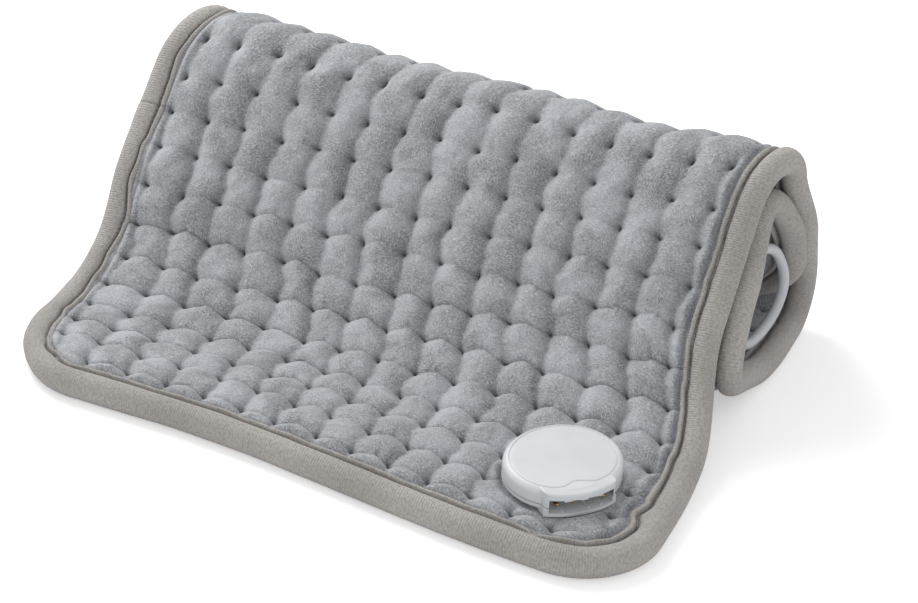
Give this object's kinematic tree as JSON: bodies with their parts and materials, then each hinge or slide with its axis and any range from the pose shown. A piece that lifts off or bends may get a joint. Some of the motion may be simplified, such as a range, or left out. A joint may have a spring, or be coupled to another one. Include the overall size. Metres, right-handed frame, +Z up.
{
  "type": "heating pad with controller",
  "caption": "Quilted plush electric heating pad, loosely rolled, with a connector socket by one corner and its hand controller, cords and plugs stowed in the roll.",
  "frame": {"origin": "centre of the bounding box, on the surface that the pad lies on", "axes": "+X across the pad towards the side with the socket, +Y from the front edge to the roll, +Z up"},
  "size_m": [0.315, 0.257, 0.1085],
  "materials": {
    "plush": "matte knitted plush",
    "binding_tape": "ribbed knitted tape",
    "felt": "matte felt",
    "heater_wire": "satin",
    "shell": "satin",
    "cord": "satin",
    "contacts": "bright",
    "metal": "plain",
    "dark_plastic": "matte",
    "key": "satin",
    "board": "satin",
    "lens": "smoked, clear"
  },
  "bodies": {
    "pad_and_controller": {"circuit_board": "board", "connector_plug_body": "shell", "contact_pin_1": "contacts", "contact_pin_2": "contacts", "contact_pin_3": "contacts", "contact_pin_4": "contacts", "contact_sleeve_1": "contacts", "contact_sleeve_2": "contacts", "contact_sleeve_3": "contacts", "contact_sleeve_4": "contacts", "controller_front_shell": "shell", "controller_rear_shell": "shell", "controller_screw_1": "metal", "controller_screw_2": "metal", "controller_screw_3": "metal", "controller_screw_4": "metal", "display_lens": "lens", "display_module": "dark_plastic", "edge_binding": "binding_tape", "heat_down_switch": "dark_plastic", "heat_up_switch": "dark_plastic", "heating_carrier": "felt", "heating_wire": "heater_wire", "mains_cord_coil": "cord", "mains_cord_lead": "cord", "mains_cord_loose_turn": "cord", "mains_plug_blade": "metal", "mains_plug_body": "shell", "mains_plug_wide_blade": "metal", "mains_strain_relief": "cord", "overheat_cutout": "dark_plastic", "pad_bottom_cover": "plush", "pad_cord_coil": "cord", "pad_cord_lead": "cord", "pad_cord_loose_turn": "cord", "pad_lead_strain_relief": "cord", "pad_top_cover": "plush", "power_switch": "dark_plastic", "socket_backing_plate": "metal", "socket_lower_shell": "shell", "socket_pin_carrier": "shell", "socket_screw_1": "metal", "socket_screw_2": "metal", "socket_upper_shell": "shell", "temperature_sensor": "dark_plastic", "timer_switch": "dark_plastic"},
    "power_button_body": {"power_button": "key"},
    "heat_up_button_body": {"heat_up_button": "key"},
    "heat_down_button_body": {"heat_down_button": "key"},
    "timer_button_body": {"timer_button": "key"}
  },
  "joints": [
    {"name": "power_press", "type": "slide", "parent": "pad_and_controller", "child": "power_button_body", "axis": [0, 0, -1], "range_m": [0, 0.0008], "stiffness_N_per_m": 800},
    {"name": "heat_up_press", "type": "slide", "parent": "pad_and_controller", "child": "heat_up_button_body", "axis": [0, 0, -1], "range_m": [0, 0.0008], "stiffness_N_per_m": 800},
    {"name": "heat_down_press", "type": "slide", "parent": "pad_and_controller", "child": "heat_down_button_body", "axis": [0, 0, -1], "range_m": [0, 0.0008], "stiffness_N_per_m": 800},
    {"name": "timer_press", "type": "slide", "parent": "pad_and_controller", "child": "timer_button_body", "axis": [0, 0, -1], "range_m": [0, 0.0008], "stiffness_N_per_m": 800}
  ]
}
